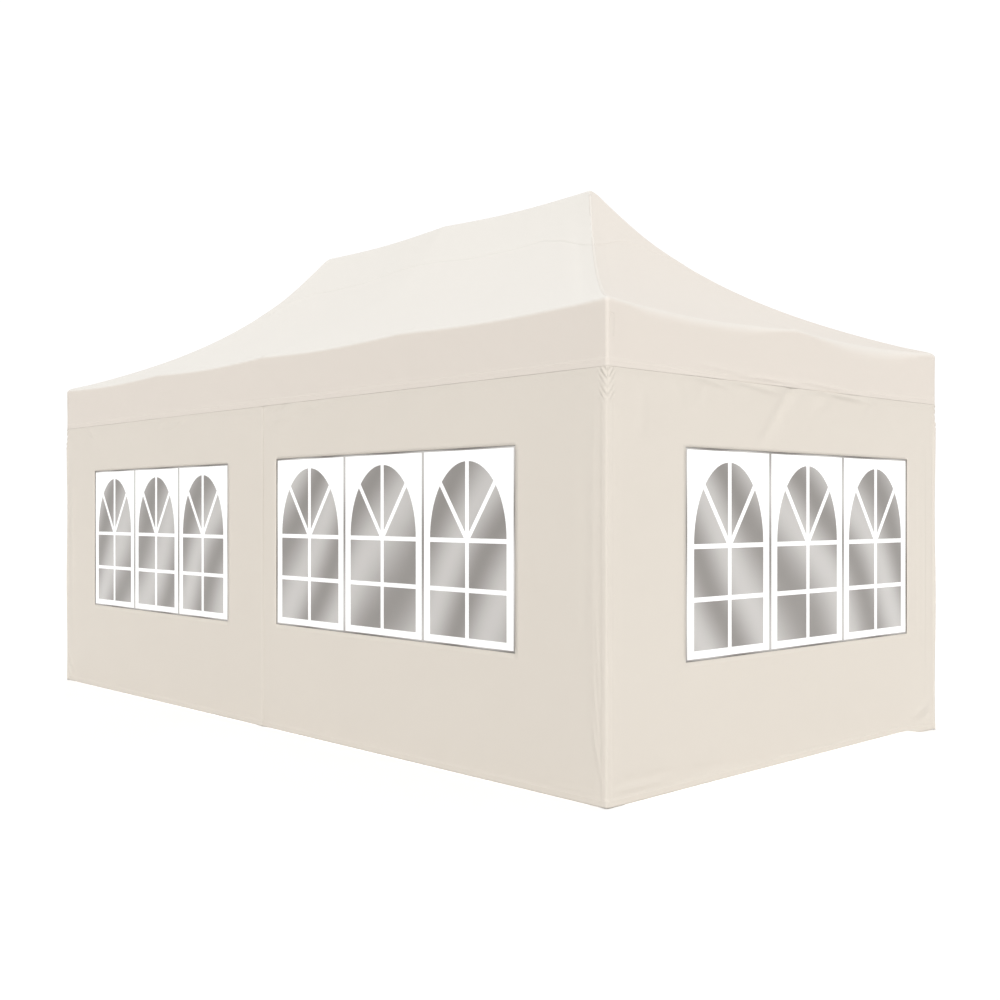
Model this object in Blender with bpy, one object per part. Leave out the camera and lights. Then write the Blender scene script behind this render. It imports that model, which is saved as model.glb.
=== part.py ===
"""Folding marquee tent, 3 m by 6 m, with a hipped roof and six window walls.

Metres, +Z up. The long side runs along X and the front faces -Y. The origin is on
the ground, under the middle of the roof. The cloth hangs from a folding frame: six
telescopic legs, scissor trusses between them, and three roof poles in a row that stand
on the trusses inside. Each cloth panel is a closed solid a few millimetres thick.
"""

import math

import bmesh
import bpy
from mathutils import Matrix

# Overall size, to the outside of the cloth
LENGTH = 6.0
WIDTH = 3.0
PEAK_Z = 3.392  # at both ends of the ridge
RIDGE_MIDDLE_Z = 3.41
EAVE_Z = 2.344
HEM_Z = 2.029  # lower edge of the valance
PEAK_X = 1.44  # from the middle to each end of the ridge

# Cloth
CLOTH = 0.004
GAP = 0.0003  # left between two solids that touch
RIDGE_ROUND = 0.01  # how far down a slope the rounding of the ridge reaches, as a share
HIP_CURVE = 0.80  # a smaller value hollows the slopes more
RIDGE_SAG = 0.02
SIDE_EAVE_SAG = 0.018
END_EAVE_SAG = 0.032
WALL_TOP_Z = 2.10  # the wall hooks on inside the valance
WALL_FOOT_Z = 0.005

# Windows: the middle along the wall, the height of the sill, the width and the height
FRONT_RIGHT_WINDOW = (1.2755, 0.660, 2.203, 1.030)
FRONT_LEFT_WINDOW = (-1.4445, 0.638, 2.049, 1.039)
RIGHT_WINDOW = (0.106, 0.623, 2.092, 1.055)

# Frame tubes
TUBE = 0.040  # outer leg
TUBE_WALL = 0.002
TUBE_FOOT_Z = 1.05
SLEEVE_TOP_Z = 1.45  # how far up the inner leg can slide
INNER_TUBE = 0.0354
INNER_TOP_Z = 1.43
FOOT_PLATE = 0.12
FOOT_THICKNESS = 0.006
ARM_HEIGHT = 0.024
ARM_THICKNESS = 0.013
BOLT_RADIUS = 0.008
BOLT_HEAD = 0.003

# Nylon joints of the frame
BRACKET = 0.061  # from the outer face of a leg inwards
BRACKET_REACH = 0.041  # from the middle of a leg along the wall
HEAD_HEIGHT = 0.075
SLIDER_HEIGHT = 0.07
JOINT = 0.050
HUB = 0.056
HUB_HEIGHT = 0.06
TRUSS_HIGH_Z = 2.285
TRUSS_LOW_Z = 1.985

# Roof poles
POLE = 0.036
POLE_FOOT_Z = 1.94
CAP_RADIUS = 0.03
CAP_HEIGHT = 0.035

# Worked out from the sizes above
HALF_LENGTH = LENGTH / 2
HALF_WIDTH = WIDTH / 2
WALL_FACE = CLOTH + GAP  # from the outside of the valance to the outside of a wall
LEG_FACE = 2 * WALL_FACE  # and to the outer face of a leg
FRAME_X = HALF_LENGTH - LEG_FACE - TUBE / 2
FRAME_Y = HALF_WIDTH - LEG_FACE - TUBE / 2
SIDE_SUPPORTS = (-1, -PEAK_X / HALF_LENGTH, 0, PEAK_X / HALF_LENGTH, 1)
END_SUPPORTS = (-1, 0, 1)

# Rows of points down a slope, closer together near the ridge where it bends most
SLOPE_ROWS = (0, 0.01, 0.02, 0.035, 0.06, 0.1, 0.16, 0.24, 0.34, 0.46, 0.6, 0.78, 1)
POINTS_PER_BAY = 6

COLOURS = {
    "cream_cloth": ((0.80, 0.74, 0.66), 0.75, 0.0),
    "window_film": ((0.45, 0.43, 0.41), 0.15, 0.0),
    "silver_tube": ((0.62, 0.63, 0.64), 0.35, 0.9),
    "grey_steel": ((0.42, 0.43, 0.44), 0.45, 0.9),
}


# Scene and materials
def clear_scene():
    for obj in list(bpy.data.objects):
        bpy.data.objects.remove(obj)


def new_collection(name):
    collection = bpy.data.collections.new(name)
    bpy.context.scene.collection.children.link(collection)
    return collection


def new_material(name, colour, roughness, metallic):
    material = bpy.data.materials.new(name)
    material.use_nodes = True
    shader = material.node_tree.nodes["Principled BSDF"]
    shader.inputs["Base Color"].default_value = (*colour, 1)
    shader.inputs["Roughness"].default_value = roughness
    shader.inputs["Metallic"].default_value = metallic
    return material


def place(name, mesh, finish, location=(0, 0, 0), turn=0):
    """Puts a mesh in the tent under its own name. turn is in degrees about Z."""
    obj = bpy.data.objects.new(name, mesh)
    obj.location = location
    obj.rotation_euler.z = math.radians(turn)
    if not mesh.materials:
        mesh.materials.append(materials[finish])
    tent.objects.link(obj)
    return obj


# Shapes
def block(x, y, z):
    """A mesh box from ranges (low, high) on each axis."""
    size = [high - low for low, high in (x, y, z)]
    middle = [(high + low) / 2 for low, high in (x, y, z)]
    bm = bmesh.new()
    bmesh.ops.create_cube(bm, size=1, matrix=Matrix.Translation(middle) @ Matrix.Diagonal((*size, 1)))
    return finished(bm)


def arm(start, end, layer):
    """A flat bar between (x, z) points, with upright ends, that fills layer (low, high) in Y."""
    slant = Matrix.Identity(4)
    slant[0][0] = end[0] - start[0]
    slant[1][1] = layer[1] - layer[0]
    slant[2][0] = end[1] - start[1]
    slant[2][2] = ARM_HEIGHT
    middle = ((start[0] + end[0]) / 2, (layer[0] + layer[1]) / 2, (start[1] + end[1]) / 2)
    bm = bmesh.new()
    bmesh.ops.create_cube(bm, size=1, matrix=Matrix.Translation(middle) @ slant)
    return finished(bm)


def cone(radius, top_radius, height, sides, matrix):
    """A cylinder or cone along its own Z, centred, then put where matrix says."""
    bm = bmesh.new()
    bmesh.ops.create_cone(bm, cap_ends=True, segments=sides, radius1=radius,
                          radius2=top_radius, depth=height, matrix=matrix)
    return finished(bm)


def finished(bm):
    """The mesh of bm, with its faces pointing out."""
    bmesh.ops.recalc_face_normals(bm, faces=bm.faces)
    mesh = bpy.data.meshes.new("shape")
    bm.to_mesh(mesh)
    bm.free()
    return mesh


def combined(name, first, others, operation="UNION"):
    """One mesh from several, joined by Booleans, or first with the others cut out of it."""
    shapes = [bpy.data.objects.new("helper", mesh) for mesh in (first, *others)]
    for shape in shapes:
        helpers.objects.link(shape)
    for other in shapes[1:]:
        boolean = shapes[0].modifiers.new(operation.lower(), "BOOLEAN")
        boolean.operation = operation
        boolean.object = other
    bpy.context.view_layer.update()
    evaluated = shapes[0].evaluated_get(bpy.context.evaluated_depsgraph_get())
    mesh = bpy.data.meshes.new_from_object(evaluated)
    mesh.name = name
    for shape in shapes:
        bpy.data.objects.remove(shape)
    return mesh


def sheet(columns, rows, point, thickness):
    """A cloth panel: a grid whose corners go to point(column, row), thickened along a vector."""
    bm = bmesh.new()
    across, down = len(columns) - 1, len(rows) - 1
    bmesh.ops.create_grid(bm, x_segments=across, y_segments=down, size=0.5)
    for vertex in bm.verts:
        column = columns[round((vertex.co.x + 0.5) * across)]
        row = rows[round((vertex.co.y + 0.5) * down)]
        vertex.co = point(column, row)
    extruded = bmesh.ops.extrude_face_region(bm, geom=bm.faces[:])["geom"]
    moved = [item for item in extruded if isinstance(item, bmesh.types.BMVert)]
    bmesh.ops.translate(bm, verts=moved, vec=thickness)
    return finished(bm)


# Form of the roof
def rounded(share):
    """The way down a slope, from 0 at the ridge to 1 at the eave, with the ridge rounded off."""
    def bent(value):
        return math.hypot(value, RIDGE_ROUND) - RIDGE_ROUND

    return bent(share) / bent(1)


def bay_sag(position, supports):
    """0 at each support and 1 half way between two of them."""
    for low, high in zip(supports, supports[1:]):
        if low <= position <= high:
            return math.sin(math.pi * (position - low) / (high - low))
    return 0


def roof_top(x, y):
    """Height of the outer face of the roof over a point of the ground."""
    down_side = abs(y) / HALF_WIDTH
    down_end = max((abs(x) - PEAK_X) / (HALF_LENGTH - PEAK_X), 0)
    down = max(down_side, down_end)
    way = rounded(down)
    height = PEAK_Z - (PEAK_Z - EAVE_Z) * way * (1 + HIP_CURVE) / (way + HIP_CURVE)
    if down_side >= down_end:
        across = x / (PEAK_X + down * (HALF_LENGTH - PEAK_X))
        ridge = (RIDGE_MIDDLE_Z - PEAK_Z) * (1 - abs(across)) - RIDGE_SAG * bay_sag(across, END_SUPPORTS)
        height += ridge * (1 - down) ** 2
        height -= SIDE_EAVE_SAG * bay_sag(across, SIDE_SUPPORTS) * down ** 4
    else:
        across = y / (down * HALF_WIDTH)
        height -= END_EAVE_SAG * bay_sag(across, END_SUPPORTS) * down ** 4
    return height


def under_roof(x, y):
    """Highest level that a flat top over ranges (low, high) of x and y reaches below the cloth."""
    return min(roof_top(a, b) for a in x for b in y) - CLOTH - GAP


def bay_columns(supports):
    """Points across a slope, from -1 to 1, with the same number in each bay."""
    columns = [supports[0]]
    for low, high in zip(supports, supports[1:]):
        for step in range(1, POINTS_PER_BAY + 1):
            columns.append(low + (high - low) * step / POINTS_PER_BAY)
    return columns


def side_slope():
    """The front slope: a trapezium under the ridge, stopping short of the hips."""
    def point(across, down):
        reach = PEAK_X + down * (HALF_LENGTH - PEAK_X)
        y = -down * HALF_WIDTH
        height = roof_top(across * reach, y)
        return across * (reach - GAP), min(y, -GAP / 2), height

    return sheet(bay_columns(SIDE_SUPPORTS), SLOPE_ROWS, point, (0, 0, -CLOTH))


def end_slope():
    """The right-hand slope: a triangle below the peak."""
    def point(across, down):
        reach = down * HALF_WIDTH
        x = PEAK_X + down * (HALF_LENGTH - PEAK_X)
        return x, across * (reach - GAP), roof_top(x, across * reach)

    return sheet(bay_columns(END_SUPPORTS), SLOPE_ROWS[1:], point, (0, 0, -CLOTH))


def side_valance():
    def point(across, level):
        x = across * HALF_LENGTH
        top = roof_top(x, HALF_WIDTH) - CLOTH - GAP
        return x, -HALF_WIDTH, HEM_Z + level * (top - HEM_Z)

    return sheet(bay_columns(SIDE_SUPPORTS), (0, 1), point, (0, CLOTH, 0))


def end_valance():
    def point(across, level):
        y = across * (HALF_WIDTH - WALL_FACE)
        top = roof_top(HALF_LENGTH, y) - CLOTH - GAP
        return HALF_LENGTH, y, HEM_Z + level * (top - HEM_Z)

    return sheet(bay_columns(END_SUPPORTS), (0, 1), point, (-CLOTH, 0, 0))


# Cloth pieces
def add_canopy():
    slope, valance = side_slope(), side_valance()
    for side, turn in (("front", 0), ("back", 180)):
        place(f"roof_{side}", slope, "cream_cloth", turn=turn)
        place(f"valance_{side}", valance, "cream_cloth", turn=turn)
    slope, valance = end_slope(), end_valance()
    for side, turn in (("right", 0), ("left", 180)):
        place(f"roof_{side}", slope, "cream_cloth", turn=turn)
        place(f"valance_{side}", valance, "cream_cloth", turn=turn)


def wall_and_window(along, window, outer):
    """A wall panel over the range along of X, with its outer face at -outer, and the window in it."""
    middle, sill, width, height = window
    left, right, head = middle - width / 2, middle + width / 2, sill + height
    thickness = (-outer, CLOTH - outer)
    wall = block(along, thickness, (WALL_FOOT_Z, WALL_TOP_Z))
    opening = block((left, right), (-outer - CLOTH, 2 * CLOTH - outer), (sill, head))
    film = block((left + GAP, right - GAP), thickness, (sill + GAP, head - GAP))
    return combined("wall", wall, [opening], "DIFFERENCE"), film


def add_walls():
    """Two panels to a long side, which meet at the middle leg, and one to each end."""
    far = HALF_LENGTH - WALL_FACE
    side_face = HALF_WIDTH - WALL_FACE
    right_half, left_half = (GAP / 2, far), (-far, -GAP / 2)
    corner = side_face - WALL_FACE
    panels = (
        (right_half, FRONT_RIGHT_WINDOW, side_face, (("front_right", 0), ("back_left", 180))),
        (left_half, FRONT_LEFT_WINDOW, side_face, (("front_left", 0), ("back_right", 180))),
        ((-corner, corner), RIGHT_WINDOW, far, (("right", 90), ("left", -90))),
    )
    for along, window, outer, copies in panels:
        wall, film = wall_and_window(along, window, outer)
        for side, turn in copies:
            place(f"wall_{side}", wall, "cream_cloth", turn=turn)
            place(f"window_{side}", film, "window_film", turn=turn)


# Legs
def outer_leg(across):
    """A tube with its fixed head and its slider, standing at the origin with its outer side at -Y.

    across is the range in X of the head and the slider."""
    inward = (-TUBE / 2, BRACKET - TUBE / 2)
    side = (-TUBE / 2, TUBE / 2)
    bore = (TUBE_WALL - TUBE / 2, TUBE / 2 - TUBE_WALL)
    x_range = [FRAME_X + offset for offset in side]
    if across[0] == -across[1]:
        x_range = across
    top = under_roof(x_range, [-FRAME_Y + offset for offset in inward])
    tube = block(side, side, (TUBE_FOOT_Z, top - HEAD_HEIGHT / 2))
    head = block(across, inward, (top - HEAD_HEIGHT, top))
    slider_foot = TRUSS_LOW_Z - SLIDER_HEIGHT / 2
    slider = block(across, inward, (slider_foot, slider_foot + SLIDER_HEIGHT))
    sleeve = block(bore, bore, (TUBE_FOOT_Z - TUBE, SLEEVE_TOP_Z))
    joined = combined("outer_leg", tube, [head, slider])
    return combined("outer_leg", joined, [sleeve], "DIFFERENCE")


def inner_leg(across):
    """The sliding lower leg on its foot plate, which has the range across in X."""
    half = INNER_TUBE / 2
    tube = block((-half, half), (-half, half), (FOOT_THICKNESS / 2, INNER_TOP_Z))
    foot = block(across, (-TUBE / 2, FOOT_PLATE - TUBE / 2), (0, FOOT_THICKNESS))
    return combined("inner_leg", tube, [foot])


def add_legs():
    corner = outer_leg((-BRACKET_REACH, TUBE / 2)), inner_leg((TUBE / 2 - FOOT_PLATE, TUBE / 2))
    middle = outer_leg((-BRACKET_REACH, BRACKET_REACH)), inner_leg((-FOOT_PLATE / 2, FOOT_PLATE / 2))
    places = (
        ("front_right", corner, FRAME_X, -FRAME_Y, 0),
        ("back_right", corner, FRAME_X, FRAME_Y, 90),
        ("back_left", corner, -FRAME_X, FRAME_Y, 180),
        ("front_left", corner, -FRAME_X, -FRAME_Y, -90),
        ("front_middle", middle, 0, -FRAME_Y, 0),
        ("back_middle", middle, 0, FRAME_Y, 180),
    )
    for side, (outer, inner), x, y, turn in places:
        place(f"leg_outer_{side}", outer, "silver_tube", (x, y, 0), turn)
        place(f"leg_inner_{side}", inner, "grey_steel", (x, y, 0), turn)


# Scissor trusses
def scissor_arm(start, end, side):
    """One arm between (x, z) points, just off the middle plane on one side of it (-1 or 1 in Y)."""
    return arm(start, end, sorted((side * GAP / 2, side * (GAP / 2 + ARM_THICKNESS))))


def bolt(start, end, near, far):
    """The bolt that two crossing arms turn on, half way along them, from near to far in Y."""
    middle = ((start[0] + end[0]) / 2, (near + far) / 2, (start[1] + end[1]) / 2)
    lie_down = Matrix.Rotation(math.radians(90), 4, "X")
    return cone(BOLT_RADIUS, BOLT_RADIUS, abs(far - near), 8, Matrix.Translation(middle) @ lie_down)


def arm_pair(left, right, end_z, joint_z, side):
    """Two arms in one layer, from both ends of a truss to the joint at x = 0, with their bolt heads."""
    pieces = []
    for end in (left, right):
        ends = (end, end_z), (0, joint_z)
        near, far = side * (GAP + ARM_THICKNESS) / 2, side * (ARM_THICKNESS + BOLT_HEAD)
        pieces += [scissor_arm(*ends, side), bolt(*ends, near, far)]
    return pieces


def truss(left, right, inward, top):
    """Two pairs of scissors on either side of a pair of joints, along X between left and right.

    The joints have the range inward in Y, and the upper one ends at the level top. The truss
    is two pieces: the arms that meet at the upper joint, and those that meet at the lower one."""
    across = (-JOINT / 2, JOINT / 2)
    upper_joint = block(across, inward, (TRUSS_HIGH_Z - JOINT / 2, top))
    lower_joint = block(across, inward, (TRUSS_LOW_Z - JOINT / 2, TRUSS_LOW_Z + JOINT / 2))
    upper_arms = arm_pair(left, right, TRUSS_LOW_Z, TRUSS_HIGH_Z, -1)
    lower_arms = arm_pair(left, right, TRUSS_HIGH_Z, TRUSS_LOW_Z, 1)
    return (
        combined("truss_upper", upper_joint, upper_arms),
        combined("truss_lower", lower_joint, lower_arms),
    )


def cross_truss():
    """One pair of scissors along X, from an eave joint at the low end to a roof pole at x = 0."""
    start = -FRAME_Y - TUBE / 2 + JOINT + GAP
    end = -HUB / 2 - GAP
    rising = (start, TRUSS_LOW_Z), (end, TRUSS_HIGH_Z)
    falling = (start, TRUSS_HIGH_Z), (end, TRUSS_LOW_Z)
    reach = ARM_THICKNESS + BOLT_HEAD
    pivot = bolt(*rising, -reach, reach)
    return combined("cross_truss", scissor_arm(*rising, -1), [pivot, scissor_arm(*falling, 1)])


def add_centre_truss():
    """Two pairs of scissors between the roof poles. Each joint and each arm is its own piece."""
    across = (-JOINT / 2, JOINT / 2)
    pole_face = PEAK_X - HUB / 2 - GAP
    joint_face = JOINT / 2 + GAP
    inner_share = joint_face / pole_face  # of the way from the middle of the joint to the pole
    levels = (("upper", TRUSS_HIGH_Z, TRUSS_LOW_Z, -1), ("lower", TRUSS_LOW_Z, TRUSS_HIGH_Z, 1))
    for level, joint_z, pole_z, layer in levels:
        joint = block(across, across, (joint_z - JOINT / 2, joint_z + JOINT / 2))
        place(f"truss_centre_joint_{level}", joint, "silver_tube")
        near = (joint_face, joint_z + inner_share * (pole_z - joint_z))
        far = (pole_face, pole_z)
        whole = (0, joint_z)
        inside, outside = layer * (GAP + ARM_THICKNESS) / 2, layer * (ARM_THICKNESS + BOLT_HEAD)
        head = bolt(whole, far, inside, outside)
        bar = combined("centre_arm", scissor_arm(near, far, layer), [head])
        place(f"truss_centre_arm_{level}_right", bar, "silver_tube")
        other = combined("centre_arm", scissor_arm(near, far, -layer), [bolt(whole, far, -inside, -outside)])
        place(f"truss_centre_arm_{level}_left", other, "silver_tube", turn=180)


def place_truss(name, pieces, location, turn):
    upper, lower = pieces
    place(f"{name}_upper", upper, "silver_tube", location, turn)
    place(f"{name}_lower", lower, "silver_tube", location, turn)


def add_trusses():
    inset = BRACKET_REACH + GAP
    across = (-JOINT / 2, JOINT / 2)
    inward = (-TUBE / 2, JOINT - TUBE / 2)
    side_top = under_roof([PEAK_X + x for x in across], [y - FRAME_Y for y in inward])
    end_top = under_roof([FRAME_X - y for y in inward], across)
    to_middle, to_corner = PEAK_X - inset, FRAME_X - PEAK_X - inset
    right_half = truss(-to_middle, to_corner, inward, side_top)
    left_half = truss(-to_corner, to_middle, inward, side_top)
    place_truss("truss_front_right", right_half, (PEAK_X, -FRAME_Y, 0), 0)
    place_truss("truss_back_left", right_half, (-PEAK_X, FRAME_Y, 0), 180)
    place_truss("truss_front_left", left_half, (-PEAK_X, -FRAME_Y, 0), 0)
    place_truss("truss_back_right", left_half, (PEAK_X, FRAME_Y, 0), 180)
    end = truss(inset - FRAME_Y, FRAME_Y - inset, inward, end_top)
    place_truss("truss_right", end, (FRAME_X, 0, 0), 90)
    place_truss("truss_left", end, (-FRAME_X, 0, 0), -90)
    add_centre_truss()
    cross = cross_truss()
    for end_name, x in (("right", PEAK_X), ("left", -PEAK_X)):
        place(f"truss_cross_front_{end_name}", cross, "silver_tube", (x, 0, 0), 90)
        place(f"truss_cross_back_{end_name}", cross, "silver_tube", (x, 0, 0), -90)


# Roof poles
def roof_pole(x, foot, hubs):
    """A post with its foot at the level foot, hubs at some levels, and a cone under the cloth."""
    post = (-POLE / 2, POLE / 2)
    hub = (-HUB / 2, HUB / 2)
    tip = roof_top(x, 0) - CLOTH - GAP
    cap = cone(CAP_RADIUS, 0, CAP_HEIGHT, 16, Matrix.Translation((0, 0, tip - CAP_HEIGHT / 2)))
    pole = block(post, post, (foot, tip - CAP_HEIGHT + GAP))
    blocks = [block(hub, hub, (level - HUB_HEIGHT / 2, level + HUB_HEIGHT / 2)) for level in hubs]
    return combined("roof_pole", pole, [*blocks, cap])


def add_roof_poles():
    """The poles at the peaks hang between trusses, and the middle one stands on the centre truss."""
    peak = roof_pole(PEAK_X, POLE_FOOT_Z, (TRUSS_LOW_Z, TRUSS_HIGH_Z))
    place("roof_pole_right", peak, "silver_tube", (PEAK_X, 0, 0))
    place("roof_pole_left", peak, "silver_tube", (-PEAK_X, 0, 0))
    place("roof_pole_middle", roof_pole(0, TRUSS_HIGH_Z + JOINT / 2 + GAP, ()), "silver_tube")


clear_scene()
tent = new_collection("marquee_tent")
helpers = new_collection("helpers")
materials = {name: new_material(name, *values) for name, values in COLOURS.items()}
add_canopy()
add_walls()
add_legs()
add_trusses()
add_roof_poles()
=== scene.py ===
# %% [markdown]
# A folding marquee, six metres long and three metres wide, stands closed on all sides.
# Its CAD model holds the steel frame and plain solids for the cloth. This lesson leaves the
# frame where it is and dresses the tent: one curved roof cover, six hanging walls, arched
# windows printed on clear film, tapes, thread and the finish of every tube.

# %% Load the frame
import math

import bmesh
import bpy
import numpy as np
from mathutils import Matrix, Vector, noise


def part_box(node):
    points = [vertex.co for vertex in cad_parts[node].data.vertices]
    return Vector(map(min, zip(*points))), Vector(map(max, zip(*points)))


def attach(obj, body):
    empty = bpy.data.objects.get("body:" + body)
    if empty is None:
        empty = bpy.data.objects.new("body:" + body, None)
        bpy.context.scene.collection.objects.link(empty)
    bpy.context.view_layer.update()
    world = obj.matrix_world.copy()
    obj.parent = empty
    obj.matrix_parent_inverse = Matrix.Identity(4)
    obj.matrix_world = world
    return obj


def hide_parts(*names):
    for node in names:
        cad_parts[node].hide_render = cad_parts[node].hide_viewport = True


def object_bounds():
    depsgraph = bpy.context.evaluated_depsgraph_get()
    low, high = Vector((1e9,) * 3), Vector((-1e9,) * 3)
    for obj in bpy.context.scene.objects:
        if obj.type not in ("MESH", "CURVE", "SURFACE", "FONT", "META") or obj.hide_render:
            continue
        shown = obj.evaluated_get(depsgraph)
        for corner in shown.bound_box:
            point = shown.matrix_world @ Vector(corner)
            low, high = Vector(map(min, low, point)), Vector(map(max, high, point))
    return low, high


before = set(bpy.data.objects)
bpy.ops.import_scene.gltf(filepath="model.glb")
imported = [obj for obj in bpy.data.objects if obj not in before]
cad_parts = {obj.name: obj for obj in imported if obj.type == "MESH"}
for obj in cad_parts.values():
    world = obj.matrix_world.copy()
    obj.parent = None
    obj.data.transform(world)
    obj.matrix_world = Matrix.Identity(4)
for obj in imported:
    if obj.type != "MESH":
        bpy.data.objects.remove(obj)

cad_box = [list(corner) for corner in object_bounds()]
print("CAD box", cad_box)

# %% [markdown]
# Every cloth follows the frame, so the sizes come first. The outline is read from the CAD
# nodes. The roof is a hollow curve that no box can give, so the few numbers of its rule are
# repeated here as they are in the part's own source.

# %% Sizes
HALF_LENGTH, HALF_WIDTH = cad_box[1][0], cad_box[1][1]
HEM_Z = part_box("valance_front")[0].z
PEAK_X = (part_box("roof_pole_right")[0].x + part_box("roof_pole_right")[1].x) / 2
PEAK_Z, RIDGE_MIDDLE_Z, EAVE_Z = 3.392, 3.41, 2.344
RIDGE_ROUND, HIP_CURVE = 0.01, 0.80
RIDGE_SAG, SIDE_EAVE_SAG, END_EAVE_SAG = 0.02, 0.018, 0.032
END_SUPPORTS = (-1, 0, 1)
SIDE_SUPPORTS = (-1, -PEAK_X / HALF_LENGTH, 0, PEAK_X / HALF_LENGTH, 1)
CORNER_ROUND, HIP_ROUND = 0.016, 0.006
CLOTH = 0.001
WALL_INSET = 0.0013
WALL_TOP, WALL_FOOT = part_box("wall_right")[1].z, 0.003
for name in ("wall_front_right", "wall_front_left", "wall_right", "window_front_right",
             "window_front_left", "window_right", "valance_front", "valance_right"):
    low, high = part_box(name)
    print(name, [round(v, 4) for v in low], [round(v, 4) for v in high])

# %% [markdown]
# Four sides carry cloth. A point on a side is given by how far it lies along the side, how
# far out it stands from the middle of the tent, and its height. Going round from the front
# to the right, the back and the left, the same three numbers describe all four sides, and
# the unseen back and left end are the front and the right end after half a turn.

# %% Four sides
SIDES = ("front", "right", "back", "left")
LONG_SIDES = ("front", "back")


def on_side(side, along, out, height):
    """The point in the tent that lies this far along a side and out from the middle."""
    x, y = {"front": (along, -out), "right": (out, along),
            "back": (-along, out), "left": (-out, -along)}[side]
    return np.stack(np.broadcast_arrays(x, y, height), axis=-1)


def smooth(value, low, high):
    """0 below low, 1 above high, and an even blend between them."""
    share = np.clip((value - low) / (high - low), 0, 1)
    return share * share * (3 - 2 * share)


def wave_noise(points, size, seed):
    """Soft random waves, mostly between -1 and 1, that are the same after half a turn."""
    def one(p):
        return noise.noise(Vector((p[0] / size + seed, p[1] / size, p[2] / size)))
    flat = points.reshape(-1, 3)
    turned = flat * (-1, -1, 1)
    values = [one(p) + one(q) for p, q in zip(flat, turned)]
    return np.array(values).reshape(points.shape[:-1])


# %% [markdown]
# The roof cover is one sheet in the real tent: four shaped panels sewn into a hollow-curved
# hip roof, with the valance sewn on all round. A flat-sided pyramid would look like folded
# card. Here each side is a grid of points on the same hollow rule, and its rows end in a
# small rounded eave and then the hanging valance. The four grids share their hip lines, so
# welding them gives one continuous skin.

# %% The rule of the roof
def bay(position, supports):
    """0 at each support and 1 half-way between two of them."""
    sag = np.zeros_like(position, dtype=float)
    for low, high in zip(supports, supports[1:]):
        inside = (position >= low) & (position <= high)
        sag = np.where(inside, np.sin(np.pi * (position - low) / (high - low)), sag)
    return np.clip(sag, 0, 1)


def rounded(share):
    """A share of the way down the slope, with the very top rounded off."""
    def bent(value):
        return np.hypot(value, RIDGE_ROUND) - RIDGE_ROUND
    return bent(share) / bent(1)


def roof_height(side, across, down):
    """The height of the cover at this share of the way across and down a side."""
    way = rounded(down)
    height = PEAK_Z - (PEAK_Z - EAVE_Z) * way * (1 + HIP_CURVE) / (way + HIP_CURVE)
    if side in LONG_SIDES:
        ridge_line = (RIDGE_MIDDLE_Z - PEAK_Z) * (1 - np.abs(across))
        ridge_line = ridge_line - RIDGE_SAG * bay(across, END_SUPPORTS)
        return (height + ridge_line * (1 - down) ** 2
                - SIDE_EAVE_SAG * bay(across, SIDE_SUPPORTS) * down ** 4)
    return height - END_EAVE_SAG * bay(across, END_SUPPORTS) * down ** 4


def side_spread(side, down):
    """How far a row reaches along and out when it is this share of the way down."""
    to_end = PEAK_X + down * (HALF_LENGTH - PEAK_X)
    to_side = down * HALF_WIDTH
    return (to_end, to_side) if side in LONG_SIDES else (to_side, to_end)


# %% Peaks, hips and seams
PEAK_PAD = 0.011
SIDE_SEAM = ((0, 0.15, 0.35, 0.60, 0.76, 0.86, 1),
             (0.166, 0.168, 0.187, 0.186, 0.178, 0.208, 0.28))
END_SEAM = ((0, 0.5, 1), (0.208, 0.235, 0.28))


def corner_turn(column):
    """How far the last column at each end has turned towards the next side."""
    return np.sign(column) * np.clip(np.abs(column) - 1, 0, 1) * math.pi / 4


def peak_pad(side, column, down):
    """The cover lies broad on the pad of each roof pole, so it leaves the peak late."""
    near = smooth(down, 0.0, 0.03) * (1 - smooth(down, 0.07, 0.2))
    if side in LONG_SIDES:
        near = near * np.clip(np.abs(column), 0, 1) ** 8
    return PEAK_PAD * near


def hip_radius(down):
    """How softly the hip is rounded. It is tighter up the slope than at the eave."""
    depth = down * HALF_WIDTH
    full = HIP_ROUND + (CORNER_ROUND - HIP_ROUND) * smooth(down, 0.93, 1.0)
    return full * depth / (depth + HIP_ROUND)


def roof_point(side, column, down):
    """A point of the cover. Columns from -1 to 1 are straight, and the last one at each
    end turns round half of a softly rounded hip."""
    half_along, out = side_spread(side, down)
    radius = hip_radius(down)
    turn = corner_turn(column)
    straight = np.clip(column, -1, 1)
    along = straight * (half_along - radius) + radius * np.sin(turn)
    height = roof_height(side, straight, down) + peak_pad(side, column, down)
    return on_side(side, along, out - radius * (1 - np.cos(turn)), height)


def seam_share(side, column):
    """Where the seam of the peak panel crosses a column, as a share of the way down. It is
    cut in straight runs, almost level along a side, and drops towards each hip."""
    across = np.clip(np.abs(column), 0, 1)
    return np.interp(across, *(SIDE_SEAM if side in LONG_SIDES else END_SEAM))


# %% [markdown]
# Real cloth is never a perfect surface. Small tension folds run up the slope from each place
# where a joint of the frame pushes out the eave, and the whole sheet carries faint waves.
# These are a few millimetres high, so they are added as movements of the grid points, up on
# the slopes and outwards on the valance.

# %% Small folds in the cover
EAVE_FOLD_RISE, EAVE_FOLD_REACH, EAVE_FOLD_SPREAD = 0.0030, 0.16, 0.35
EAVE_FOLD_LEANS = (-0.55, 0.0, 0.5)
HIP_FOLDS = ((-0.0035, 0.10, 0.05), (0.0018, 0.22, 0.07))


def ridge(distance, width):
    """A soft ridge: 1 where the distance is 0, and almost nothing two widths away."""
    return np.exp(-(distance / width) ** 2)


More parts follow.
